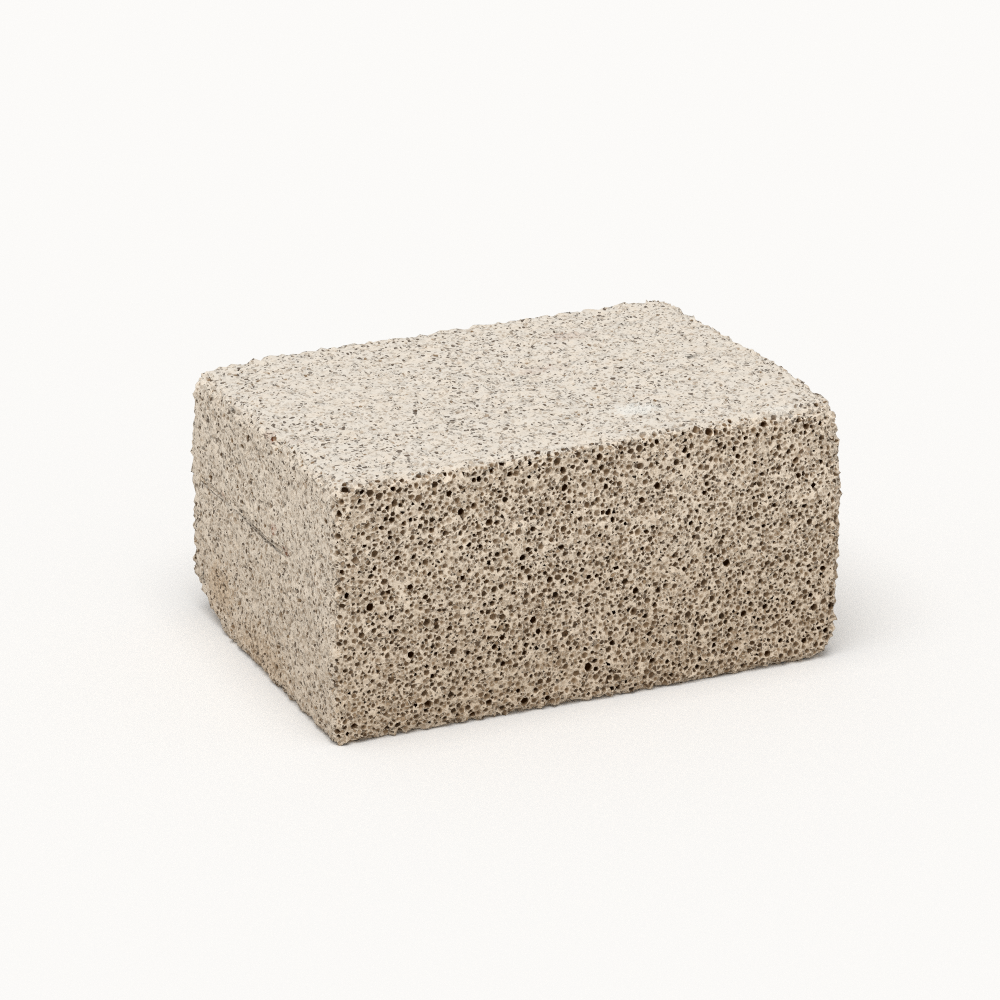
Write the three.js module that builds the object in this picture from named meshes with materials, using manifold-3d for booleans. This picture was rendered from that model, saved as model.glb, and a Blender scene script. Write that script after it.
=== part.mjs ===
// A pumice rubbing block: one piece of light, bubbly stone, sawn to a block that is not quite square.
// Its edges are worn round, two lower corners are knocked off, and a saw left a score across one end.
// Millimetres, +Z up. The origin is the middle of the flat underside, with the long sides along X.
import * as THREE from "three";
import { ImprovedNoise } from "three/addons/math/ImprovedNoise.js";
import { mergeVertices } from "three/addons/utils/BufferGeometryUtils.js";
import Module from "manifold-3d";

const LENGTH = 100; // along X
const WIDTH = 72; // along Y
const HEIGHT = 49; // along Z

// How far each sawn corner sits from that of a true box, and how much rounder it is worn than the
// edges are. The four lower corners stay on the plane that the block stands on.
const CORNERS = [
  { end: [-1, -1, -1], shift: [-0.3, 0.4, 0], wear: 0 },
  { end: [1, -1, -1], shift: [0, -0.6, 0], wear: 1 },
  { end: [1, 1, -1], shift: [0, 0, 0], wear: 1 },
  { end: [-1, 1, -1], shift: [-0.6, 0.4, 0], wear: 0.5 },
  { end: [-1, -1, 1], shift: [0.3, -0.4, -0.6], wear: 0.5 },
  { end: [1, -1, 1], shift: [0, 0.4, 0.6], wear: 3.2 },
  { end: [1, 1, 1], shift: [-0.4, 0.5, 1], wear: 0.5 },
  { end: [-1, 1, 1], shift: [-0.3, -0.2, -0.7], wear: 2.6 },
];
const EDGE_RADIUS = 1.8; // of a worn edge, away from the corners
const WEAR_REACH = 12; // along the edges, over which a corner's extra wear fades out

// Corners that broke away along a plane: its normal, and how deep under the sawn corner it lies.
const BREAKS = [
  { end: [-1, 1, -1], normal: [-1, 0.55, -1.3], depth: 5.2 },
  { end: [1, -1, -1], normal: [1, -0.5, -0.95], depth: 3.4 },
];
const BREAK_BLOCK = 60; // side of the block that takes a broken corner away

// The surface wanders off the flat in slow swells and small humps, but never on the underside.
const SWELL = { height: 0.55, length: 24 };
const HUMP = { height: 0.28, length: 8 };
const FLAT_FOOT = 5; // height over which the swell grows from nothing at the underside

// The score across the low-X end: a shallow round-bottomed groove, along Y.
const SCORE = { radius: 1.0, depth: 0.12, height: 28, from: -26, to: 31, sides: 12 };

const EDGE_BAND = 4.5; // width of the close grid lines that round each edge
const EDGE_STEPS = 3;
const STEPS = { x: 22, y: 18, z: 14 }; // grid steps along the whole block, edge bands included

const SAME_POINT = 1e-4; // vertices closer than this are one

const half = new THREE.Vector3(LENGTH / 2, WIDTH / 2, HEIGHT / 2);
const noise = new ImprovedNoise();
const wasm = await Module();
wasm.setup();

// Place of one grid line across a side of the block, from minus half to plus half the size.
function gridLine(share, steps, size) {
  const line = Math.round((share + 0.5) * steps);
  const inFromEnd = Math.min(line, steps - line);
  const openStep = (size - 2 * EDGE_BAND) / (steps - 2 * EDGE_STEPS);
  const bandStep = EDGE_BAND / EDGE_STEPS;
  const inset =
    Math.min(inFromEnd, EDGE_STEPS) * bandStep + Math.max(inFromEnd - EDGE_STEPS, 0) * openStep;
  return 2 * line <= steps ? inset - size / 2 : size / 2 - inset;
}

function cornerPoint(corner) {
  return new THREE.Vector3(...corner.end).multiply(half);
}

// Radius of the wear at a point on the block: the edges' own, and more close to a worn corner.
function wearRadius(point) {
  let radius = EDGE_RADIUS;
  for (const corner of CORNERS) {
    const away = cornerPoint(corner).distanceTo(point) / WEAR_REACH;
    radius += corner.wear * Math.exp(-away * away);
  }
  return radius;
}

// The corners' shifts, mixed by how near a point lies to each of them.
function sawnShift(point) {
  const shift = new THREE.Vector3();
  for (const corner of CORNERS) {
    const share = ["x", "y", "z"].reduce(
      (product, axis, i) => product * (1 + (corner.end[i] * point[axis]) / half[axis]) * 0.5,
      1,
    );
    shift.addScaledVector(new THREE.Vector3(...corner.shift), share);
  }
  return shift;
}

function wander(point, wave) {
  return wave.height * noise.noise(...point.clone().divideScalar(wave.length).toArray());
}

// A point of the sharp box, moved to the worn surface. The box is centred on the origin here.
function wornPoint(point) {
  const radius = wearRadius(point);
  const inner = half.clone().subScalar(radius);
  const core = point.clone().clamp(inner.clone().negate(), inner);
  const outward = point.clone().sub(core).normalize();
  const worn = core.addScaledVector(outward, radius);
  const lift = THREE.MathUtils.clamp((worn.z + half.z) / FLAT_FOOT, 0, 1);
  const swell = (wander(worn, SWELL) + wander(worn, HUMP)) * lift;
  return worn.addScaledVector(outward, swell).add(sawnShift(point));
}

function solidOf(geometry) {
  const bare = new THREE.BufferGeometry()
    .setAttribute("position", geometry.getAttribute("position"))
    .setIndex(geometry.getIndex());
  const merged = mergeVertices(bare, SAME_POINT);
  return new wasm.Manifold(
    new wasm.Mesh({
      numProp: 3,
      vertProperties: merged.getAttribute("position").array,
      triVerts: new Uint32Array(merged.getIndex().array),
    }),
  );
}

function geometryOf(solid) {
  const { vertProperties, triVerts } = solid.getMesh();
  return new THREE.BufferGeometry()
    .setAttribute("position", new THREE.BufferAttribute(vertProperties, 3))
    .setIndex(new THREE.BufferAttribute(triVerts, 1));
}

// The geometry moved sideways until the origin is under the middle of its box.
function centred(geometry) {
  geometry.computeBoundingBox();
  const middle = geometry.boundingBox.getCenter(new THREE.Vector3());
  return geometry.translate(-middle.x, -middle.y, 0);
}

function sawnBlock() {
  const block = new THREE.BoxGeometry(1, 1, 1, STEPS.x, STEPS.y, STEPS.z);
  const position = block.getAttribute("position");
  for (let i = 0; i < position.count; i++) {
    const onBox = new THREE.Vector3(
      gridLine(position.getX(i), STEPS.x, LENGTH),
      gridLine(position.getY(i), STEPS.y, WIDTH),
      gridLine(position.getZ(i), STEPS.z, HEIGHT),
    );
    const worn = wornPoint(onBox);
    position.setXYZ(i, worn.x, worn.y, worn.z + half.z);
  }
  return solidOf(block);
}

// A big block whose near face is the break's plane.
function brokenAway({ end, normal, depth }) {
  const outward = new THREE.Vector3(...normal).normalize();
  const middle = cornerPoint({ end })
    .add(new THREE.Vector3(0, 0, half.z))
    .addScaledVector(outward, BREAK_BLOCK / 2 - depth);
  const turn = new THREE.Quaternion().setFromUnitVectors(new THREE.Vector3(0, 0, 1), outward);
  const block = new THREE.BoxGeometry(BREAK_BLOCK, BREAK_BLOCK, BREAK_BLOCK);
  return solidOf(block.applyQuaternion(turn).translate(...middle.toArray()));
}

function scoreCut() {
  const along = SCORE.to - SCORE.from;
  const rod = new THREE.CylinderGeometry(SCORE.radius, SCORE.radius, along, SCORE.sides);
  const outside = -LENGTH / 2 - SCORE.radius + SCORE.depth;
  return solidOf(rod.translate(outside, (SCORE.from + SCORE.to) / 2, SCORE.height));
}

let stone = sawnBlock();
for (const cut of [...BREAKS.map(brokenAway), scoreCut()]) stone = stone.subtract(cut);

const foamStone = new THREE.MeshStandardMaterial({
  color: "#c6baa8",
  roughness: 0.96,
  metalness: 0,
});
const pumiceStone = new THREE.Mesh(centred(geometryOf(stone)), foamStone);
pumiceStone.name = "pumice_stone";

const group = new THREE.Group();
group.add(pumiceStone);
export default group;
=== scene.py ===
"""A pumice rubbing block: one piece of stone foam, sawn to a block that cuts its bubbles open.

Run it as a script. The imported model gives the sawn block, and each operator makes one thing from it.
Everything is in metres, with +Z up and the block standing on z = 0.
"""

import math

import bpy
import numpy as np
from mathutils import Matrix, Vector, noise
from mathutils.bvhtree import BVHTree


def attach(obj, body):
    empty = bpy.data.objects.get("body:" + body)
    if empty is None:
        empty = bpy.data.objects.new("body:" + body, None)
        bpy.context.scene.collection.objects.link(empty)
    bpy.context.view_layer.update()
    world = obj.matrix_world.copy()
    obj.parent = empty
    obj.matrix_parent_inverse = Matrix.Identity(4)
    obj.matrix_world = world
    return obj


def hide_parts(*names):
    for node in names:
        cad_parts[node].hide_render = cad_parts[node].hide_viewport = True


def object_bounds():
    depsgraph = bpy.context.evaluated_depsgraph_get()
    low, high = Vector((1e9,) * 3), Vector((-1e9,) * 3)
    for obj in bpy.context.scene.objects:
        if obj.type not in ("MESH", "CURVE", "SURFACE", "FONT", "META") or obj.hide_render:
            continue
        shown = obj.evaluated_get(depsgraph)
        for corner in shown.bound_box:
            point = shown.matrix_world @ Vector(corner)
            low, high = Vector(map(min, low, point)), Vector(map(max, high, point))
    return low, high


bl_info = {
    "name": "Pumice Block",
    "version": (1, 0, 0),
    "blender": (4, 5, 0),
    "location": "3D View > Sidebar > Pumice",
    "description": "Makes a sawn pumice block with open bubbles, and a pale studio to show it in",
    "category": "Object",
}

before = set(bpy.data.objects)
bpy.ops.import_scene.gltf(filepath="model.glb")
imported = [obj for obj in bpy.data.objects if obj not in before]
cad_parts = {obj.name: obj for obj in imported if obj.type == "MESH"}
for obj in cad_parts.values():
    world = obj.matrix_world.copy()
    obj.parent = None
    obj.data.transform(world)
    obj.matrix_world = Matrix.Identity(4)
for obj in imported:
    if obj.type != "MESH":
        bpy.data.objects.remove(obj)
CAD_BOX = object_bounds()

MM = 0.001
CAD_NODE = "pumice_stone"
BODY = "root"
UV_MAP = "OFBake"

# ---------------------------------------------------------------------------------------------
# Sizes of the foam, in mm unless a comment says otherwise
# ---------------------------------------------------------------------------------------------

# Radius of each class of bubble, and how many of it open through a square centimetre of skin, from
# the coarse ones down. Finer ones are left to the material.
BUBBLE_CLASSES = (
    (0.82, 1),
    (0.70, 5),
    (0.60, 13),
    (0.52, 19),
    (0.45, 20),
    (0.39, 14),
)
TRIES = 9  # places tried for each bubble that is wanted
RADIUS_SPREAD = (0.9, 1.12)  # of a class's radius
CROWDING = 0.72  # two bubbles' centres come this near, as a share of their radii's sum
DEPTH_RANGE = (-0.42, 0.74)  # of a bubble's centre under the sawn skin, in radii
OUT_OF_ROUND = (0.86, 1.12)
DEEP_SHARE = 0.4  # of the bubbles reach deeper into the stone than they are wide
DEEP_STRETCH = (1.25, 1.75)
BALL_SIDES = 6  # sides of a bubble's ball, seen along the skin's normal
BALL_JITTER = 0.07  # how far its corners are out of place, in radii

# Foam is uneven: patches of it are coarse and open, others close-grained.
PATCH_LENGTH = 14.0
PATCH_STRENGTH = 0.55

# How the six sides differ: the share of places that hold a bubble, the size of the bubbles, how
# far they lie towards the skin (in radii), and how much stone dust has settled in them, which also
# paints the top most and the ends less paler and greyer, as painted light.
SIDES = {
    "front": {"facing": (0, -1, 0), "open": 1.0, "size": 1.0, "lift": 0.0, "dust_and_painted_light": 0.0},
    "back": {"facing": (0, 1, 0), "open": 0.62, "size": 1.04, "lift": 0.0, "dust_and_painted_light": 0.0},
    "left": {"facing": (-1, 0, 0), "open": 0.56, "size": 0.8, "lift": 0.0, "dust_and_painted_light": 0.4},
    "right": {"facing": (1, 0, 0), "open": 0.42, "size": 0.88, "lift": 0.0, "dust_and_painted_light": 0.25},
    "top": {"facing": (0, 0, 1), "open": 0.36, "size": 0.7, "lift": 0.0, "dust_and_painted_light": 0.85},
    "bottom": {"facing": (0, 0, -1), "open": 0.05, "size": 1.1, "lift": 0.1, "dust_and_painted_light": 0.3},
}

FACING = np.array([side["facing"] for side in SIDES.values()], dtype=float)

EDGE_OPEN = 1.2  # how many more bubbles open through the worn edges, as a share of the side's own
EDGE_REACH = 5.0  # the worn edges end this far from the edges of the block's box
EDGE_TURN = 4.0  # how fast the skin counts as a worn edge where it turns away from its side

# The sawn skin's own roughness, before it is cut: how high its lumps are on the sides and how
# much higher on the worn edges, and how long.
LUMP_HEIGHT = 0.16
LUMP_EDGE = 1.3
LUMP_LENGTH = 1.2
CHIP_LENGTH = 0.4  # of the chips on the lumps, as a share of a lump's length
SKIN_CHIPS = 0.5  # height of the chips on the uncut skin, as a share of the lumps' height
RIM_CHIPS = 0.6  # the same on the rims and walls, once the bubbles are cut
RIM_SCATTER = 0.2  # how far each point there strays any way, as a share of the lumps' height
SWELL_HEIGHT = 0.4  # the worn edges also wander, in longer waves
SWELL_LENGTH = 5.0
WORN_ENOUGH = 0.15  # share of wear from which the skin counts as an edge, and is cut closely
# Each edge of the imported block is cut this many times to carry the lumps: on the sides that have
# few bubbles and on the worn edges, and on the rest.
CLOSE_CUTS = 4
OPEN_CUTS = 1
CLOSE_SIDES = ("top", "left")

ON_FOOT = 0.05  # points up to this high belong to the flat underside
MOST_MENDS = 6  # rounds of taking out torn vertices and filling in, before giving up

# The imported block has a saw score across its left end, which dust and wear have nearly filled.
SCORE = {"height": 28.0, "half_width": 1.05, "half_length": 33.0, "filled": 0.9}

# Places that stand out: where (as shares of the box, from its low corner), how far they reach,
# and what they do to the number and the size of the bubbles there.
PLACES = (
    {"at": (0.03, 0.0, 0.94), "reach": (6, 6, 5), "open": 1.9, "size": 1.17},
    {"at": (0.13, 0.0, 0.84), "reach": (5, 5, 4), "open": 1.6, "size": 1.17},
    {"at": (0.05, 0.0, 0.2), "reach": (7, 4, 7), "open": 0.35, "size": 0.9},
    {"at": (0.6, 0.0, 0.1), "reach": (45, 8, 12), "open": 1.5, "size": 1.1},
    {"at": (0.5, 0.0, 0.97), "reach": (50, 5, 4), "open": 1.2, "size": 1.17},
    {"at": (0.0, 0.0, 0.45), "reach": (3.5, 3.5, 40), "open": 0.45, "size": 0.85},
    {"at": (0.65, 0.18, 1.0), "reach": (5, 4, 3), "open": 0.0, "size": 0.8},
    {"at": (0.88, 0.05, 1.0), "reach": (4, 3, 3), "open": 0.0, "size": 0.8},
)

# Spots with a colour of their own, in mm from the origin: iron stain, the weak ochre round it, and
# powder rubbed flat.
SPOTS = (
    {"colour": "rust", "at": (-50, -7.3, 31), "reach": (2, 1.5, 1.2), "share": 1.0},
    {"colour": "rust", "at": (-50, -13, 28.6), "reach": (2, 1.8, 0.9), "share": 1.0},
    {"colour": "rust", "at": (-50, 19, 28.7), "reach": (2, 1.4, 0.9), "share": 1.0},
    {"colour": "rust", "at": (-46.5, -11, 49), "reach": (2.4, 1.6, 1.6), "share": 1.0},
    {"colour": "rust", "at": (-50, -5, 48), "reach": (2, 3.4, 1.4), "share": 1.0},
    {"colour": "rust", "at": (-43, 5, 50), "reach": (2.6, 1.2, 1.5), "share": 1.0},
    {"colour": "rust", "at": (8, 6, 50), "reach": (7, 2.5, 2), "share": 0.6},
    {"colour": "rust", "at": (22, 21, 50), "reach": (6, 3, 2), "share": 0.6},
    {"colour": "ochre", "at": (-50, 22, 9), "reach": (3, 8, 6), "share": 0.28},
    {"colour": "ochre", "at": (-50, 0, 4), "reach": (3, 16, 5), "share": 0.22},
    {"colour": "smear", "at": (15, -22.5, 50), "reach": (5.2, 3.6, 4), "share": 0.85},
    {"colour": "smear", "at": (38, -34, 50), "reach": (3.4, 2.2, 4), "share": 0.4},
)

# How the finished stone's map lays the six sides out on one square sheet, in mm: the directions
# that run right and up on the sheet, and where the middle of the side goes.
SHEET = 207.0
CHARTS = {
    "front": {"right": (1, 0, 0), "up": (0, 0, 1), "middle": (51.5, 176.0)},
    "back": {"right": (-1, 0, 0), "up": (0, 0, 1), "middle": (154.5, 26.0)},
    "left": {"right": (0, 0, 1), "up": (0, 1, 0), "middle": (129.0, 89.5)},
    "right": {"right": (0, 0, -1), "up": (0, 1, 0), "middle": (181.0, 89.5)},
    "top": {"right": (1, 0, 0), "up": (0, 1, 0), "middle": (51.5, 37.5)},
    "bottom": {"right": (-1, 0, 0), "up": (0, 1, 0), "middle": (51.5, 112.5)},
}

# How a bubble's inside is drawn on that map within its mouth: the share of the mouth that it fills,
# how fast it draws in with depth, and the least width of a mouth, both as shares of the bubble.
MOUTH = {"filled": 0.95, "fall": 0.7, "least": 0.3}

# The studio: how far the camera is shifted sideways and up from its line to the block's middle, how
# the overhead lamp is tipped in degrees, between which heights the backdrop fades (as the upward
# part of a direction of length 1), and the side of the paper in m.
CAMERA_SHIFT = {"right": -2.0, "up": 1.26}
LAMP_TILT = (14.0, -12.0, 0.0)
BACKDROP_FADE = (0.06, 0.3)
FLOOR_SIDE = 12


def linear_colour(hex_code):
    """An sRGB colour such as #c9b8a4, as the linear red, green and blue that shaders take."""
    shares = [int(hex_code[i : i + 2], 16) / 255 for i in (1, 3, 5)]
    return tuple(s / 12.92 if s <= 0.04045 else ((s + 0.055) / 1.055) ** 2.4 for s in shares)


def hex_property(name, description, hex_code):
    """A colour setting whose default is an sRGB hex value."""
    return bpy.props.FloatVectorProperty(
        name=name,
        description=description,
        subtype="COLOR",
        size=3,
        min=0,
        max=1,
        default=linear_colour(hex_code),
    )


def length_property(name, description, millimetres):
    """A length setting, stored in metres."""
    return bpy.props.FloatProperty(
        name=name,
        description=description,
        subtype="DISTANCE",
        unit="LENGTH",
        min=0,
        default=millimetres * MM,
    )


class FoamSizes(bpy.types.PropertyGroup):
    """Sizes of the bubbles and of the stone between them."""

    seed: bpy.props.IntProperty(
        name="Seed", description="Which of many like blocks is made", default=11, min=0
    )
    wall: length_property(
        "Thinnest wall", "Stone left between two bubbles that press on each other", 0.13
    )
    crumble: length_property(
        "Crumble", "How far the rims of the bubbles are broken out of line", 0.25
    )
    triangles: bpy.props.IntProperty(
        name="Triangles", description="Triangles in the finished stone", default=197000, min=1000
    )


class StoneColours(bpy.types.PropertyGroup):
    """Colours of the stone, its pores and its dust, with painted shade in the pores, painted highlight
    on the rims, and painted light in the pale dust colour.
    """

    wall: hex_property("Wall", "Glass foam that the saw has ground pale", "#eddcc6")
    wall_dark: hex_property("Dark wall", "Greyer patches of the same foam", "#c4ad90")
    # Partly painted shade: the glass's own brown inside the bubbles, darkened to stand for the shade in
    # them.
    pore: hex_property("Pore", "Inside of a shallow bubble", "#9e8569")
    # Painted shade: the near-black painted far down in the bubbles, for the shade there.
    painted_deep_shade: hex_property("Deep pore", "Far down a bubble, where fines have lodged", "#3a220c")
    # Partly painted light: this pale grey also paints the top and the ends paler, beside the stone dust
    # in their bubbles.
    dust_and_painted_light: hex_property("Dust", "Ground stone that lies in the open bubbles", "#dad4ca")
    # Painted highlight: the pale colour painted on rims and thin walls, for the light they catch and
    # let through.
    rim_highlight: hex_property("Rim", "Thin glass where two bubbles meet, which light shines through", "#f9eddc")
    smear: hex_property("Smear", "Powdered glass, rubbed flat", "#e6e3db")
    rust: hex_property("Rust", "Iron stain round a few of the bubbles", "#a35c36")
    ochre: hex_property("Ochre", "Weak iron stain that has spread through the walls", "#e0c08e")


class Studio(bpy.types.PropertyGroup):
    """The camera, the lights and the floor."""

    azimuth: bpy.props.FloatProperty(
        name="Azimuth",
        description="Camera's turn round the block; 0 looks square at the long front side",
        subtype="ANGLE",
        default=math.radians(-24.35),
    )
    elevation: bpy.props.FloatProperty(
        name="Elevation",
        description="Camera's height above the horizon, as an angle",
        subtype="ANGLE",
        default=math.radians(20.35),
    )
    distance: length_property("Distance", "From the camera to the middle of the block", 617)
    lens: bpy.props.FloatProperty(
        name="Lens", description="Focal length on a 36 mm sensor, in mm", default=118.8, min=20
    )
    key_strength: bpy.props.FloatProperty(
        name="Overhead light", description="Strength of the big overhead light", default=2.3, min=0
    )
    key_spread: bpy.props.FloatProperty(
        name="Overhead spread",
        description="How wide the overhead light is, seen from the block",
        subtype="ANGLE",
        default=math.radians(50),
    )
    room_strength: bpy.props.FloatProperty(
        name="Room light", description="Strength of the light from the pale room", default=0.48, min=0
    )
    horizon_strength: bpy.props.FloatProperty(
        name="Horizon light", description="Strength of the backdrop near the floor", default=0.9, min=0
    )
    floor: hex_property("Floor", "The paper that the block stands on", "#e9e8e6")
    room: hex_property("Room", "The pale room all round", "#ffffff")


# ---------------------------------------------------------------------------------------------
# Small tools
# ---------------------------------------------------------------------------------------------


def select_only(made):
    """Leaves one object selected and active, in object mode."""
    for other in bpy.context.selected_objects:
        other.select_set(False)
    bpy.context.view_layer.objects.active = made
    made.select_set(True)


def apply_modifier(made, name, kind, **settings):
    """Adds one modifier to an object with its settings, and applies it."""
    modifier = made.modifiers.new(name, kind)
    for key, value in settings.items():
        setattr(modifier, key, value)
    select_only(made)
    bpy.ops.object.modifier_apply(modifier=name)


def vertices_of(mesh):
    """The mesh's vertices, as rows of x, y and z."""
    flat = np.empty(len(mesh.vertices) * 3)
    mesh.vertices.foreach_get("co", flat)
    return flat.reshape(-1, 3)


def triangles_of(mesh):
    """Vertex numbers of the mesh's triangles, three to a row."""
    flat = np.empty(len(mesh.polygons) * 3, dtype=np.int64)
    mesh.polygons.foreach_get("vertices", flat)
    return flat.reshape(-1, 3)


def write_attribute(mesh, name, domain, values):
    """Stores one number for each point or face of the mesh."""
    made = mesh.attributes.new(name, "FLOAT", domain)
    made.data.foreach_set("value", np.asarray(values, dtype=np.float32))


# ---------------------------------------------------------------------------------------------
# The foam
# ---------------------------------------------------------------------------------------------


class Bubbles:
    """All the bubbles that the saw cut open, one row each in every array. Lengths are in mm."""

    def __init__(self):
        self.skin = []  # the point of the sawn skin that it opens through
        self.outward = []  # the skin's normal there
        self.depth = []  # of the centre under the skin, less than zero if outside
        self.radius = []
        self.side = []
        self.cells = {}

    def add(self, skin, outward, depth, radius, side):
        self.skin.append(skin)
        self.outward.append(outward)
        self.depth.append(depth)
        self.radius.append(radius)
        self.side.append(side)

    def settle(self):
        """Turns the lists to arrays, once the last bubble is in."""
        self.skin = np.array(self.skin)
        self.outward = np.array(self.outward)
        self.depth = np.array(self.depth)
        self.radius = np.array(self.radius)
        self.side = np.array(self.side)
        self.centre = self.skin - self.outward * self.depth[:, None]


def side_numbers(normals):
    """The side of the block that each normal faces most nearly, as a row of SIDES."""
    return np.argmax(normals @ FACING.T, axis=1)


def blend_sides(normals, key):
    """A setting of SIDES for each normal: a side's own, and a mix of two where an edge turns."""
    values = np.array([side[key] for side in SIDES.values()])
    return np.maximum(normals @ FACING.T, 0) ** 2 @ values


def place_factors(points, low, size):
    """How the places that stand out change the number and the size of bubbles at each point."""
    openness = np.ones(len(points))
    bigness = np.ones(len(points))
    for place in PLACES:
        away = (points - low - size * place["at"]) / place["reach"]
        near = np.exp(-(away**2).sum(axis=1))
        openness *= 1 + (place["open"] - 1) * near
        bigness *= 1 + (place["size"] - 1) * near
    return openness, bigness


def room_for(cells, cell, centre, radius):
    """True if a bubble fits among those that are there, which may press a little on each other."""
    x, y, z = (int(c // cell) for c in centre)
    for i in (x - 1, x, x + 1):
        for j in (y - 1, y, y + 1):
            for k in (z - 1, z, z + 1):
                for other in cells.get((i, j, k), ()):
                    least = CROWDING * (radius + other[3])
                    dx, dy, dz = centre[0] - other[0], centre[1] - other[1], centre[2] - other[2]
                    if dx * dx + dy * dy + dz * dz < least * least:
                        return False
    cells.setdefault((x, y, z), []).append((*centre, radius))
    return True


def grow_bubbles(block, rng):
    """Fills the skin of the block with bubbles, the big ones first, where there is room."""
    points = vertices_of(block.data) / MM
    faces = triangles_of(block.data)
    first, second, third = (points[faces[:, i]] for i in range(3))
    normals = np.cross(second - first, third - first)
    areas = np.linalg.norm(normals, axis=1) / 2
    normals /= 2 * areas[:, None]
    share_up_to = np.cumsum(areas) / areas.sum()
    low = points.min(axis=0)
    size = points.max(axis=0) - low
    sides = side_numbers(normals)
    side_open, side_size, side_lift = (blend_sides(normals, key) for key in ("open", "size", "lift"))
    cell = 2.4 * BUBBLE_CLASSES[0][0]
    cells = {}
    bubbles = Bubbles()
    for class_radius, per_square_cm in BUBBLE_CLASSES:
        wanted = per_square_cm * areas.sum() / 100
        tries = int(wanted * TRIES)
        face = np.searchsorted(share_up_to, rng.random(tries))
        across = rng.random((tries, 2))
        outside = across.sum(axis=1) > 1
        across[outside] = 1 - across[outside]
        skin = (
            first[face]
            + (second[face] - first[face]) * across[:, :1]
            + (third[face] - first[face]) * across[:, 1:]
        )
        openness, bigness = place_factors(skin, low, size)
        patches = np.array([noise.noise(Vector(p)) for p in skin / PATCH_LENGTH])
        worn = 1 + EDGE_OPEN * edge_share(skin, normals[face])
        odds = side_open[face] * openness * worn * (1 + PATCH_STRENGTH * patches)
        radius = class_radius * rng.uniform(*RADIUS_SPREAD, tries) * side_size[face] * bigness
        depth = (rng.uniform(*DEPTH_RANGE, tries) - side_lift[face]) * radius
        centre = skin - normals[face] * depth[:, None]
        side = sides[face]
        allowed = np.bincount(side, odds, len(SIDES)) * wanted / tries
        taken = np.zeros(len(SIDES))
        for n in np.flatnonzero(rng.random(tries) < odds):
            if taken[side[n]] < allowed[side[n]]:
                if room_for(cells, cell, centre[n].tolist(), radius[n]):
                    bubbles.add(skin[n], normals[face[n]], depth[n], radius[n], side[n])
                    taken[side[n]] += 1
    bubbles.settle()
    return bubbles


def unit_ball(sides):
    """Points and faces of a closed ball of radius 1 whose axis is +Z: two rings and two poles."""
    turns = np.arange(sides) * 2 * np.pi / sides
    half_step = np.pi / sides
    points = [(0, 0, 1)]
    for height, twist in ((0.45, 0.0), (-0.45, half_step)):
        reach = math.sqrt(1 - height * height)
        points += [(reach * math.cos(t + twist), reach * math.sin(t + twist), height) for t in turns]
    points.append((0, 0, -1))
    faces = []
    last = 2 * sides + 1
    for i in range(sides):
        j = (i + 1) % sides
        faces.append((0, 1 + i, 1 + j))
        faces.append((1 + i, 1 + sides + i, 1 + j))
        faces.append((1 + j, 1 + sides + i, 1 + sides + j))
        faces.append((last, 1 + sides + j, 1 + sides + i))
    return np.array(points), np.array(faces)


def turn_to(outward, rng):
    """Rotation that takes +Z to a direction, with a random twist round it."""
    twist = rng.uniform(0, 2 * np.pi)
    helper = np.array([1.0, 0, 0]) if abs(outward[0]) < 0.7 else np.array([0, 1.0, 0])
    across = np.cross(outward, helper)
    across /= np.linalg.norm(across)
    third = np.cross(outward, across)
    x = across * math.cos(twist) + third * math.sin(twist)
    return np.column_stack([x, np.cross(outward, x), outward])


def neighbours_of(bubbles):
    """For each bubble, the numbers of those that press on it."""
    reach = 2.4 * float(bubbles.radius.max())
    cells = {}
    keys = np.floor(bubbles.centre / reach).astype(int)
    for n, key in enumerate(map(tuple, keys)):
        cells.setdefault(key, []).append(n)
    touching = []
    steps = [(i, j, k) for i in (-1, 0, 1) for j in (-1, 0, 1) for k in (-1, 0, 1)]
    for n, (x, y, z) in enumerate(keys.tolist()):
        near = np.array([m for i, j, k in steps for m in cells.get((x + i, y + j, z + k), ())])
        away = np.linalg.norm(bubbles.centre[near] - bubbles.centre[n], axis=1)
        pressed = away < 1.3 * (bubbles.radius[near] + bubbles.radius[n])
        touching.append(near[pressed & (near != n)])
    return touching


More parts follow.
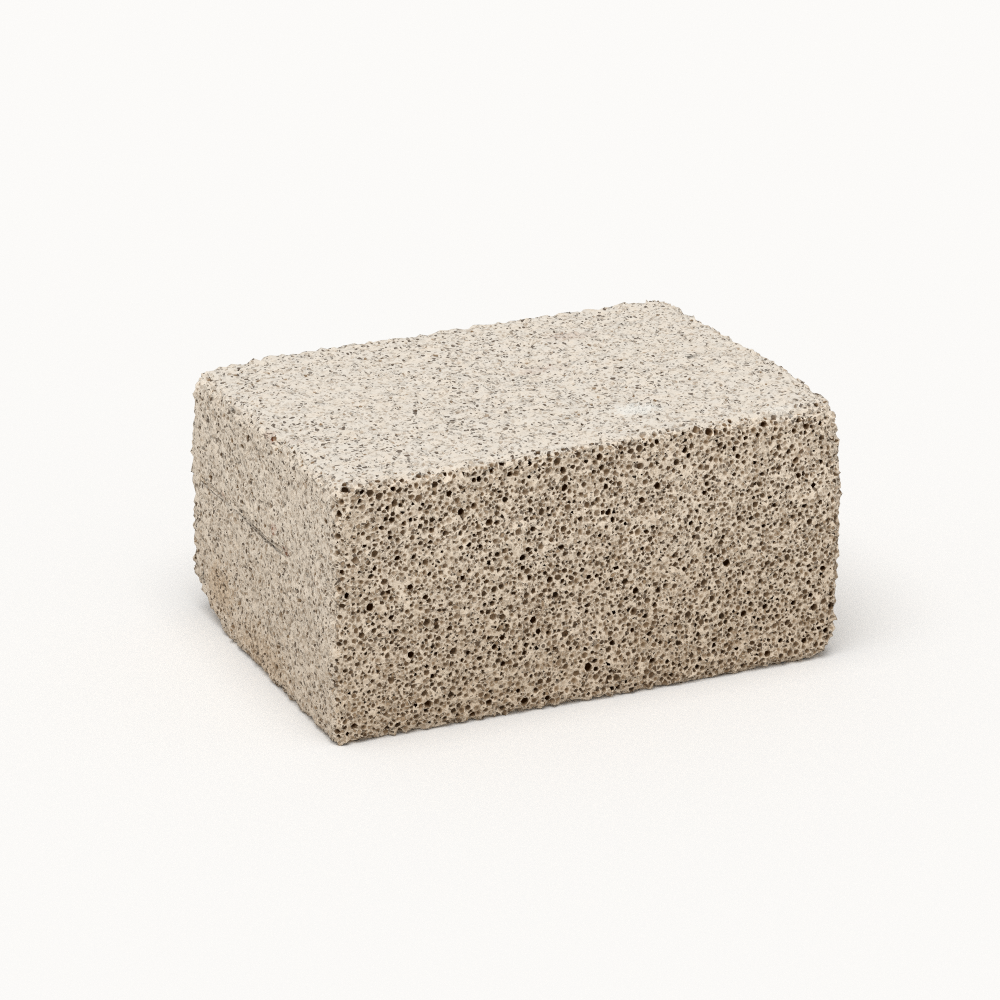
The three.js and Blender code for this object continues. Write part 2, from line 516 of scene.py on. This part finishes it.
def cutting_foam(bubbles, wall, rng):
    """One object that holds every bubble as a closed ball, flattened where its neighbours press."""
    ball_points, ball_faces = unit_ball(BALL_SIDES)
    touching = neighbours_of(bubbles)
    points, faces, owners = [], [], []
    count = 0
    for n, radius in enumerate(bubbles.radius):
        outward = bubbles.outward[n]
        jitter = rng.uniform(-BALL_JITTER, BALL_JITTER, ball_points.shape)
        shape = (ball_points + jitter) * rng.uniform(*OUT_OF_ROUND, 3)
        shape = shape @ turn_to(outward, rng).T * radius
        if rng.random() < DEEP_SHARE:
            stretch = rng.uniform(*DEEP_STRETCH) - 1
            inner = np.minimum(shape @ outward, 0)
            shape = shape + outward * (inner * stretch)[:, None]
        near = touching[n]
        if len(near):
            to_near = bubbles.centre[near] - bubbles.centre[n]
            away = np.linalg.norm(to_near, axis=1)
            meets = (away**2 + radius**2 - bubbles.radius[near] ** 2) / (2 * away) - wall / 2
            meets = np.maximum(meets, 0.12 * radius)
            reach = shape @ (to_near / away[:, None]).T
            with np.errstate(divide="ignore"):
                allowed = np.where(reach > 1e-9, meets / np.maximum(reach, 1e-9), np.inf)
            shape = shape * np.minimum(1, allowed.min(axis=1))[:, None]
        points.append(shape + bubbles.centre[n])
        faces.append(ball_faces + count)
        owners.append(np.full(len(ball_faces), n + 1))
        count += len(ball_points)
    mesh = bpy.data.meshes.new("cutting_foam")
    mesh.from_pydata((np.concatenate(points) * MM).tolist(), [], np.concatenate(faces).tolist())
    owner = mesh.attributes.new("bubble", "INT", "FACE")
    owner.data.foreach_set("value", np.concatenate(owners).astype(np.int32))
    foam = bpy.data.objects.new("cutting_foam", mesh)
    bpy.context.scene.collection.objects.link(foam)
    return foam


def keep_largest_part(made):
    """Deletes loose parts, which are bubbles that never met the skin, and returns the stone."""
    select_only(made)
    bpy.ops.mesh.separate(type="LOOSE")
    parts = sorted(bpy.context.selected_objects, key=lambda part: len(part.data.vertices))
    for loose in parts[:-1]:
        bpy.data.objects.remove(loose)
    select_only(parts[-1])
    return parts[-1]


def open_the_bubbles(block, foam):
    """Cuts the foam out of the block."""
    apply_modifier(block, "Open bubbles", "BOOLEAN", operation="DIFFERENCE", object=foam,
                   solver="MANIFOLD")
    bpy.data.objects.remove(foam)
    stone = keep_largest_part(block)
    apply_modifier(stone, "Triangles", "TRIANGULATE")
    return stone


def mend(stone):
    """Takes out the few vertices where thinning out left the surface torn or doubled, and fills in."""
    select_only(stone)
    bpy.ops.object.mode_set(mode="EDIT")
    bpy.ops.mesh.select_mode(type="VERT")
    for _ in range(MOST_MENDS):
        bpy.ops.mesh.select_all(action="DESELECT")
        bpy.ops.mesh.select_non_manifold()
        bpy.ops.object.mode_set(mode="OBJECT")
        faulty = sum(vertex.select for vertex in stone.data.vertices)
        bpy.ops.object.mode_set(mode="EDIT")
        if not faulty:
            break
        bpy.ops.mesh.delete(type="VERT")
        bpy.ops.mesh.select_all(action="SELECT")
        bpy.ops.mesh.fill_holes(sides=0)
        bpy.ops.mesh.quads_convert_to_tris()
        bpy.ops.mesh.select_all(action="DESELECT")
    else:
        raise RuntimeError("The stone still has torn or doubled edges")
    bpy.ops.object.mode_set(mode="OBJECT")


def waves(places, length):
    """Smooth noise at each place, about 0.5 either way, with lumps of about this length in mm."""
    return np.array([noise.noise(Vector(place / (length * MM))) for place in places])


def edge_share(points, normals):
    """0 on the flat sides, rising towards 1 where the skin turns round a worn edge."""
    low, high = (np.array(corner) / MM for corner in CAD_BOX)
    insets = np.sort(np.minimum(points - low, high - points), axis=1)
    turned = np.clip((1 - np.abs(normals).max(axis=1)) * EDGE_TURN, 0, 1)
    return turned * np.clip(EDGE_REACH - insets[:, 1], 0, 1)


def on_skin(skin_tree, places):
    """For each place, how far it lies from the uncut skin and the skin's normal there."""
    found = [skin_tree.find_nearest(Vector(place)) for place in places]
    return np.array([hit[3] for hit in found]), np.array([hit[1] for hit in found])


def fill_score(places, skin_tree):
    """Moves the points of the saw score out to the skin above and below it, all but a trace."""
    low = CAD_BOX[0][0]
    height, half_width, half_length = (
        SCORE[key] * MM for key in ("height", "half_width", "half_length")
    )
    scored = (places[:, 0] < low + 2 * MM) & (np.abs(places[:, 1]) < half_length)
    scored &= np.abs(places[:, 2] - height) < half_width
    inward = Vector((1, 0, 0))
    for n in np.flatnonzero(scored):
        heights = (height - half_width, height + half_width)
        starts = (Vector((low - 0.01, places[n, 1], z)) for z in heights)
        level = sum(skin_tree.ray_cast(start, inward)[0].x for start in starts) / 2
        if places[n, 0] > level:
            places[n, 0] += (level - places[n, 0]) * SCORE["filled"]


def roughen(block, skin_tree):
    """Gives the sawn skin small lumps, which are higher on the worn edges."""
    facing = np.array([face.normal for face in block.data.polygons])
    middles = np.array([face.center for face in block.data.polygons]) / MM
    names = np.array(list(SIDES))[side_numbers(facing)]
    close = np.isin(names, CLOSE_SIDES) | (edge_share(middles, facing) > WORN_ENOUGH)
    select_only(block)
    bpy.ops.object.mode_set(mode="EDIT")
    bpy.ops.mesh.select_mode(type="FACE")
    bpy.ops.mesh.select_all(action="DESELECT")
    bpy.ops.object.mode_set(mode="OBJECT")
    block.data.polygons.foreach_set("select", close)
    bpy.ops.object.mode_set(mode="EDIT")
    bpy.ops.mesh.subdivide(number_cuts=CLOSE_CUTS)
    bpy.ops.mesh.select_all(action="INVERT")
    bpy.ops.mesh.subdivide(number_cuts=OPEN_CUTS)
    bpy.ops.mesh.select_all(action="SELECT")
    bpy.ops.mesh.quads_convert_to_tris()
    bpy.ops.object.mode_set(mode="OBJECT")
    places = vertices_of(block.data)
    normals = on_skin(skin_tree, places)[1]
    fill_score(places, skin_tree)
    worn = edge_share(places / MM, normals)
    height = LUMP_HEIGHT * (1 + LUMP_EDGE * worn)
    lumps = waves(places, LUMP_LENGTH) + SKIN_CHIPS * waves(places, CHIP_LENGTH * LUMP_LENGTH)
    swells = waves(places, SWELL_LENGTH)
    rise = lumps * height * 2 + swells * worn * SWELL_HEIGHT * 2
    put_back(block.data, places, places + normals * (rise * MM)[:, None])


def put_back(mesh, before, moved):
    """Moves the mesh's vertices, but leaves those of the foot on its plane."""
    foot = before[:, 2] < ON_FOOT * MM
    moved[foot, 2] = 0
    moved[:, 2] = np.maximum(moved[:, 2], 0)
    mesh.vertices.foreach_set("co", moved.ravel())
    mesh.update()


def crumble(stone, height, skin_tree, rng):
    """Breaks the rims and walls out of line: lumps along the normal, and small chips all ways."""
    places = vertices_of(stone.data)
    normals = on_skin(skin_tree, places)[1]
    reach = height * (1 + LUMP_EDGE * edge_share(places / MM, normals))
    lumps = waves(places, LUMP_LENGTH) + RIM_CHIPS * waves(places, CHIP_LENGTH * LUMP_LENGTH)
    moved = places + normals * (lumps * reach)[:, None]
    moved += rng.uniform(-1, 1, places.shape) * RIM_SCATTER * height
    put_back(stone.data, places, moved)


def owners_of(mesh):
    """For each face, the number of the bubble that it lines, from 1 up, or 0 for the skin."""
    owner = np.empty(len(mesh.polygons), dtype=np.int32)
    mesh.attributes["bubble"].data.foreach_get("value", owner)
    return owner


def on_rim(mesh):
    """True for each point where a bubble meets the skin or another bubble."""
    owner = owners_of(mesh).repeat(3)
    corners = triangles_of(mesh).ravel()
    lowest = np.full(len(mesh.vertices), owner.max())
    highest = np.zeros(len(mesh.vertices), dtype=int)
    np.minimum.at(lowest, corners, owner)
    np.maximum.at(highest, corners, owner)
    return lowest != highest


def record_finish(stone, bubbles, skin_tree, rng):
    """Stores what the material reads: depth for the painted shade in the bubbles, each bubble's own
    tone, the dust with the painted light of each side, and the rims for the painted highlight.
    """
    mesh = stone.data
    owner = owners_of(mesh)
    tone = np.concatenate([[0.0], 0.2 + 0.8 * rng.random(len(bubbles.radius))])
    write_attribute(mesh, "pore", "FACE", tone[owner])
    depth, normals = on_skin(skin_tree, vertices_of(mesh))
    write_attribute(mesh, "depth", "POINT", depth / MM)
    write_attribute(mesh, "dust_and_painted_light", "POINT", blend_sides(normals, "dust_and_painted_light"))
    write_attribute(mesh, "rim_highlight", "POINT", on_rim(mesh))


def lay_out(stone, bubbles, skin_tree):
    """Gives the stone a UV map of its six sides, with each bubble's inside kept in its own mouth."""
    mesh = stone.data
    owner = owners_of(mesh)
    corners = triangles_of(mesh)
    places = vertices_of(mesh)[corners]
    side = side_numbers(on_skin(skin_tree, places.mean(axis=1))[1])
    side[owner > 0] = bubbles.side[owner[owner > 0] - 1]
    places /= MM
    number = np.maximum(owner - 1, 0)[:, None]
    mouth, outward = bubbles.skin[number], bubbles.outward[number]
    radius, deep = bubbles.radius[number], bubbles.depth[number]
    along = ((places - mouth) * outward).sum(axis=2)
    across = places - mouth - along[..., None] * outward
    width = np.maximum(np.linalg.norm(across, axis=2), 1e-6)
    opening = np.sqrt(np.maximum(radius**2 - deep**2, (MOUTH["least"] * radius) ** 2))
    depth_share = np.minimum(along / (MOUTH["fall"] * (radius + deep)), 0)
    reach = MOUTH["filled"] * opening * np.exp(depth_share)
    reach *= np.minimum(width / (MOUTH["least"] * radius), 1)
    inner = (owner > 0)[:, None] & ~on_rim(mesh)[corners]
    places = np.where(inner[..., None], mouth + across * (reach / width)[..., None], places)
    low, high = (np.array(corner) / MM for corner in CAD_BOX)
    places -= (low + high) / 2
    right, up, middle = (
        np.array([CHARTS[name][key] for name in SIDES], dtype=float)[side][:, None]
        for key in ("right", "up", "middle")
    )
    sheet = np.stack([(places * right).sum(axis=2), (places * up).sum(axis=2)], axis=2) + middle
    layer = mesh.uv_layers.new(name=UV_MAP)
    layer.uv.foreach_set("vector", (sheet / SHEET).astype(np.float32).ravel())


# ---------------------------------------------------------------------------------------------
# Materials
# ---------------------------------------------------------------------------------------------


def add_node(tree, kind, inputs=(), **settings):
    """Adds one node. inputs maps a socket's name or number to a value, or to a socket to link."""
    node = tree.nodes.new(kind)
    for key, value in settings.items():
        setattr(node, key, value)
    for key, value in dict(inputs).items():
        if isinstance(value, bpy.types.NodeSocket):
            tree.links.new(value, node.inputs[key])
        else:
            node.inputs[key].default_value = value
    return node


def shaded(colour):
    """A linear colour with its alpha, as a colour socket takes it."""
    return (*colour, 1)


def sawn_pumice(colours):
    """Pumice is a foam of volcanic glass, and this block was sawn and rubbed, not polished.

    The eye sees matt pale walls with no gloss, browner bubbles that are painted nearly black where
    they are deep as painted shade, fine pinholes in the walls painted dark as painted shade, pale rims
    as painted highlight, a lower part painted darker as painted shade, a little iron stain, and ground
    stone lying in the bubbles of the sides that saw the most rubbing, which also paints those sides
    paler as painted light.
    """
    material = bpy.data.materials.new("sawn_pumice")
    material.use_nodes = True
    tree = material.node_tree
    tree.nodes.clear()
    place = add_node(tree, "ShaderNodeTexCoord").outputs["Object"]

    def grain(size_mm, detail=2.0, roughness=0.5, shift=0.0):
        moved = add_node(tree, "ShaderNodeMapping", {0: place, 1: (shift, shift, shift)})
        made = add_node(
            tree,
            "ShaderNodeTexNoise",
            {0: moved.outputs[0], "Scale": 1 / (size_mm * MM), "Detail": detail,
             "Roughness": roughness},
        )
        return made.outputs["Fac"]

    def spread(value, low, high, to_low=0.0, to_high=1.0):
        made = add_node(
            tree, "ShaderNodeMapRange", {0: value, 1: low, 2: high, 3: to_low, 4: to_high}
        )
        return made.outputs[0]

    def maths(operation, first, second):
        return add_node(tree, "ShaderNodeMath", {0: first, 1: second}, operation=operation).outputs[0]

    def mixed(share, first, second, blend="MIX"):
        made = add_node(
            tree, "ShaderNodeMix", {0: share, 6: first, 7: second}, data_type="RGBA", blend_type=blend
        )
        return made.outputs[2]

    pore = add_node(tree, "ShaderNodeAttribute", attribute_name="pore").outputs["Fac"]
    depth = add_node(tree, "ShaderNodeAttribute", attribute_name="depth").outputs["Fac"]
    dust_and_painted_light = add_node(tree, "ShaderNodeAttribute", attribute_name="dust_and_painted_light").outputs["Fac"]
    rim_highlight = add_node(tree, "ShaderNodeAttribute", attribute_name="rim_highlight").outputs["Fac"]

    # Bubbles too fine to be cut: rounded cells with thin walls between. Some are closed and show no
    # more than the wall does, most are shallow, and a few go dark. Their hollows are painted browner
    # and darker as painted shade, since they have no geometry to cast it.
    in_pore = spread(pore, 0.05, 0.15)
    closed = spread(dust_and_painted_light, 0, 1, 0.3, 0.7)
    shallow = 0
    deep = 0
    ridge_highlight = 1
    for size_mm, shift in ((0.9, 2.0), (0.55, 5.0)):
        moved = add_node(tree, "ShaderNodeMapping", {0: place, 1: (shift, shift, shift)}).outputs[0]
        cell, wall_line = (
            add_node(
                tree,
                "ShaderNodeTexVoronoi",
                {0: moved, "Scale": 1 / (size_mm * MM), "Randomness": 1.0},
                feature=feature,
            )
            for feature in ("F1", "DISTANCE_TO_EDGE")
        )
        chance = add_node(tree, "ShaderNodeSeparateColor", {0: cell.outputs["Color"]})
        reach = spread(chance.outputs[1], 0, 1, 0.5, 0.85)
        disc = spread(maths("SUBTRACT", cell.outputs["Distance"], reach), -0.3, 0.0, 1.0, 0.0)
        edge = wall_line.outputs["Distance"]
        bowl = maths("MINIMUM", disc, spread(edge, 0.05, 0.2))
        ridge_highlight = maths("MULTIPLY", ridge_highlight, spread(edge, 0.0, 0.12))
        opened = spread(chance.outputs[0], closed, 1.0)
        shallow = maths("MAXIMUM", maths("MULTIPLY", bowl, opened), shallow)
        hole = maths("MULTIPLY", spread(bowl, 0.45, 0.8), spread(chance.outputs[2], 0.82, 0.92))
        deep = maths("MAXIMUM", hole, deep)
    only_walls = spread(in_pore, 0, 1, 1.0, 0.2)
    shallow = maths("MULTIPLY", shallow, only_walls)
    deep = maths("MULTIPLY", deep, only_walls)

    # Walls: patches of a greyer foam, fine grain, and pale thin edges where two bubbles meet, painted
    # as painted highlight. Walls and bubbles are also painted darker and browner towards the foot, as
    # painted shade.
    patches = spread(grain(7, 3, 0.6), 0.35, 0.68)
    fine = spread(grain(0.4, 2, 0.75, 3.1), 0.3, 0.7)
    height = add_node(tree, "ShaderNodeSeparateXYZ", {0: place}).outputs[2]
    # Painted shade: darker and browner towards the foot, where less light reaches.
    foot = spread(height, 0, 36 * MM, 1.0, 0.0)
    wall_tone = maths("ADD", maths("MULTIPLY", patches, 0.3), maths("MULTIPLY", fine, 0.4))
    wall_tone = maths("ADD", wall_tone, maths("MULTIPLY", foot, 0.55))
    wall = mixed(wall_tone, shaded(colours.wall), shaded(colours.wall_dark))
    # Painted highlight: the thin walls between bubbles and the rims of the cut bubbles are painted
    # pale, for the light they catch.
    pale = maths("MAXIMUM", spread(ridge_highlight, 0, 1, 0.5, 0.0), spread(rim_highlight, 0.4, 1.0, 0.0, 0.3))
    wall = mixed(pale, wall, shaded(colours.rim_highlight))
    # Partly painted light: the walls of the top, and less so the ends, are painted towards the pale
    # dust colour, both for dust and for the brighter light on them.
    dusting_and_painted_light = maths("MULTIPLY", dust_and_painted_light, spread(grain(2.5, 3, 0.6, 9.2), 0.3, 0.6, 0.6, 1.0))
    wall = mixed(dusting_and_painted_light, wall, shaded(colours.dust_and_painted_light))

    # Painted shade: every bubble is painted the darker the deeper it goes, and browner away from its
    # rim, over the glass's own brown; each bubble has a tone of its own, which sets how dark it is
    # painted.
    own = maths("POWER", spread(pore, 0.2, 1.0), spread(dust_and_painted_light, 0, 1, 1.2, 1.5))
    down = maths("MULTIPLY", spread(depth, 0.0, 0.8), spread(own, 0, 1, 0.3, 1.4))
    down = maths("MULTIPLY", down, in_pore)
    shallow = maths("MULTIPLY", shallow, spread(dust_and_painted_light, 0, 0.5, 1.0, 0.55))
    inside = maths("MULTIPLY", in_pore, spread(rim_highlight, 0, 1, 1.0, 0.0))
    pore_brown_and_shade = maths("MAXIMUM", spread(down, 0.0, 0.4), maths("MULTIPLY", inside, 0.25))
    pore_brown_and_shade = maths("MAXIMUM", pore_brown_and_shade, shallow)
    # Painted shade: the bubbles are painted browner towards the foot.
    pore_brown_and_shade = maths("ADD", pore_brown_and_shade, maths("MULTIPLY", maths("MULTIPLY", foot, inside), 0.25))
    pore_brown_and_shade = maths("MINIMUM", maths("ADD", pore_brown_and_shade, maths("MULTIPLY", foot, 0.14)), 1.0)
    colour = mixed(pore_brown_and_shade, wall, shaded(colours.pore))
    painted_pore_shade = maths("MAXIMUM", spread(down, 0.35, 1.0), maths("MULTIPLY", deep, 0.8))
    colour = mixed(painted_pore_shade, colour, shaded(colours.painted_deep_shade))
    fine_foam = maths("MAXIMUM", shallow, deep)

    # Iron stain, which shows most in the bubbles, and places on the top that were rubbed whitish.
    def near(spot):
        away = add_node(
            tree,
            "ShaderNodeVectorMath",
            {0: place, 1: tuple(x * MM for x in spot["at"])},
            operation="SUBTRACT",
        )
        shares = tuple(1 / (x * MM) for x in spot["reach"])
        scaled = add_node(
            tree, "ShaderNodeVectorMath", {0: away.outputs[0], 1: shares}, operation="MULTIPLY"
        )
        length = add_node(
            tree, "ShaderNodeVectorMath", {0: scaled.outputs[0]}, operation="LENGTH"
        ).outputs["Value"]
        ragged = maths("ADD", length, spread(grain(1.2, 3, 0.6, 7.7), 0.3, 0.7, -0.45, 0.45))
        return spread(ragged, 0.5, 1.0, 1.0, 0.0)

    lodged = spread(pore_brown_and_shade, 0.1, 0.7, 0.25, 0.95)
    for spot in SPOTS:
        share = maths("MULTIPLY", near(spot), spot["share"])
        if spot["colour"] == "rust":
            share = maths("MULTIPLY", share, lodged)
        blend = "MIX" if spot["colour"] == "smear" else "MULTIPLY"
        colour = mixed(share, colour, shaded(getattr(colours, spot["colour"])), blend)

    rough = add_node(
        tree,
        "ShaderNodeBump",
        {"Strength": 1.0, "Distance": 0.18 * MM, "Height": grain(0.45, 3, 0.7, 5.0)},
    )
    pits = add_node(
        tree,
        "ShaderNodeBump",
        {"Strength": 1.0, "Distance": 0.3 * MM, "Height": fine_foam, "Normal": rough.outputs[0]},
        invert=True,
    )
    surface = add_node(
        tree,
        "ShaderNodeBsdfPrincipled",
        {"Base Color": colour, "Roughness": 0.95, "IOR": 1.5, "Specular IOR Level": 0.0,
         "Normal": pits.outputs[0]},
    )
    add_node(tree, "ShaderNodeOutputMaterial", {0: surface.outputs[0]})
    return material


def matt_paper(colour):
    """Background paper: uncoated, so it gives a soft pale floor with no shine."""
    material = bpy.data.materials.new("matt_paper")
    material.use_nodes = True
    surface = material.node_tree.nodes["Principled BSDF"]
    surface.inputs["Base Color"].default_value = shaded(colour)
    surface.inputs["Roughness"].default_value = 1.0
    surface.inputs["Specular IOR Level"].default_value = 0.0
    return material


# ---------------------------------------------------------------------------------------------
# Operators
# ---------------------------------------------------------------------------------------------


class PUMICE_OT_stone(bpy.types.Operator):
    """Cuts the open bubbles into a copy of the sawn block, and gives it its finish"""

    bl_idname = "pumice.stone"
    bl_label = "Pumice stone"

    def execute(self, context):
        sizes = context.scene.pumice_foam
        rng = np.random.default_rng(sizes.seed)
        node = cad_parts[CAD_NODE]
        block = bpy.data.objects.new("porous_stone", node.data.copy())
        context.scene.collection.objects.link(block)
        select_only(block)
        bpy.ops.object.mode_set(mode="EDIT")
        bpy.ops.mesh.select_all(action="SELECT")
        bpy.ops.mesh.remove_doubles(threshold=0.001 * MM)
        bpy.ops.object.mode_set(mode="OBJECT")
        skin_tree = BVHTree.FromPolygons(
            [Vector(p) for p in vertices_of(block.data)], triangles_of(block.data).tolist()
        )
        bubbles = grow_bubbles(block, rng)
        roughen(block, skin_tree)
        foam = cutting_foam(bubbles, sizes.wall / MM, rng)
        stone = open_the_bubbles(block, foam)
        share_kept = min(1, sizes.triangles / len(stone.data.polygons))
        apply_modifier(stone, "Thin out", "DECIMATE", ratio=share_kept)
        mend(stone)
        stone.name = stone.data.name = "porous_stone"
        crumble(stone, sizes.crumble, skin_tree, rng)
        record_finish(stone, bubbles, skin_tree, rng)
        lay_out(stone, bubbles, skin_tree)
        select_only(stone)
        bpy.ops.object.shade_smooth_by_angle(angle=math.radians(50))
        stone.data.materials.clear()
        stone.data.materials.append(sawn_pumice(context.scene.pumice_colours))
        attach(stone, BODY)
        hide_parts(CAD_NODE)
        return {"FINISHED"}


class PUMICE_OT_studio(bpy.types.Operator):
    """Lays the pale floor, hangs the lights and sets up the camera"""

    bl_idname = "pumice.studio"
    bl_label = "Studio"

    def execute(self, context):
        studio = context.scene.pumice_studio
        self.lay_floor(studio)
        self.light(context, studio)
        self.set_camera(context, studio)
        context.scene.view_settings.view_transform = "Standard"
        context.scene.cycles.use_denoising = False
        context.scene.cycles.filter_width = 1.1
        return {"FINISHED"}

    def lay_floor(self, studio):
        """A sheet of pale paper, wide enough that its far edge is never seen."""
        bpy.ops.mesh.primitive_plane_add(size=FLOOR_SIDE, location=(0, 0, 0))
        floor = bpy.context.object
        floor.name = "floor"
        floor.data.materials.append(matt_paper(studio.floor))

    def light(self, context, studio):
        """One wide soft light overhead, and a pale room that is brightest at the horizon."""
        lamp = bpy.data.lights.new("overhead", "SUN")
        lamp.energy = studio.key_strength
        lamp.angle = studio.key_spread
        overhead = bpy.data.objects.new("overhead", lamp)
        context.scene.collection.objects.link(overhead)
        overhead.rotation_euler = [math.radians(turn) for turn in LAMP_TILT]
        world = bpy.data.worlds.new("room")
        context.scene.world = world
        world.use_nodes = True
        background = world.node_tree.nodes["Background"]
        background.inputs["Color"].default_value = shaded(studio.room)
        direction = add_node(world.node_tree, "ShaderNodeTexCoord").outputs["Generated"]
        upward = add_node(world.node_tree, "ShaderNodeSeparateXYZ", {0: direction}).outputs[2]
        low, high = BACKDROP_FADE
        fall = add_node(
            world.node_tree,
            "ShaderNodeMapRange",
            {0: upward, 1: low, 2: high, 3: studio.horizon_strength, 4: studio.room_strength},
        )
        world.node_tree.links.new(fall.outputs[0], background.inputs["Strength"])

    def set_camera(self, context, studio):
        """A long lens, looking down on the front and the left end."""
        turn, rise = studio.azimuth, studio.elevation
        back = Vector(
            (math.sin(turn) * math.cos(rise), -math.cos(turn) * math.cos(rise), math.sin(rise))
        )
        right = Vector((math.cos(turn), math.sin(turn), 0))
        up = back.cross(right)
        low, high = CAD_BOX
        middle = (low + high) / 2
        camera = bpy.data.cameras.new("camera")
        camera.lens = studio.lens
        camera.sensor_width = 36
        camera.clip_start = 0.01
        camera.clip_end = 50
        placed = bpy.data.objects.new("camera", camera)
        context.scene.collection.objects.link(placed)
        placed.matrix_world = Matrix((right, up, back)).transposed().to_4x4()
        shift = right * CAMERA_SHIFT["right"] * MM + up * CAMERA_SHIFT["up"] * MM
        placed.location = middle + back * studio.distance + shift
        context.scene.camera = placed


class PUMICE_PT_panel(bpy.types.Panel):
    """Lists what can be made"""

    bl_idname = "PUMICE_PT_panel"
    bl_label = "Pumice"
    bl_space_type = "VIEW_3D"
    bl_region_type = "UI"
    bl_category = "Pumice"

    def draw(self, context):
        self.layout.operator(PUMICE_OT_stone.bl_idname)
        self.layout.operator(PUMICE_OT_studio.bl_idname)


SETTINGS = {
    "pumice_foam": FoamSizes,
    "pumice_colours": StoneColours,
    "pumice_studio": Studio,
}
CLASSES = (*SETTINGS.values(), PUMICE_OT_stone, PUMICE_OT_studio, PUMICE_PT_panel)


def register():
    for each in CLASSES:
        bpy.utils.register_class(each)
    for name, group in SETTINGS.items():
        setattr(bpy.types.Scene, name, bpy.props.PointerProperty(type=group))


def unregister():
    for name in SETTINGS:
        delattr(bpy.types.Scene, name)
    for each in reversed(CLASSES):
        bpy.utils.unregister_class(each)


def main():
    register()
    bpy.ops.pumice.stone()
    bpy.ops.pumice.studio()


if __name__ == "__main__":
    main()
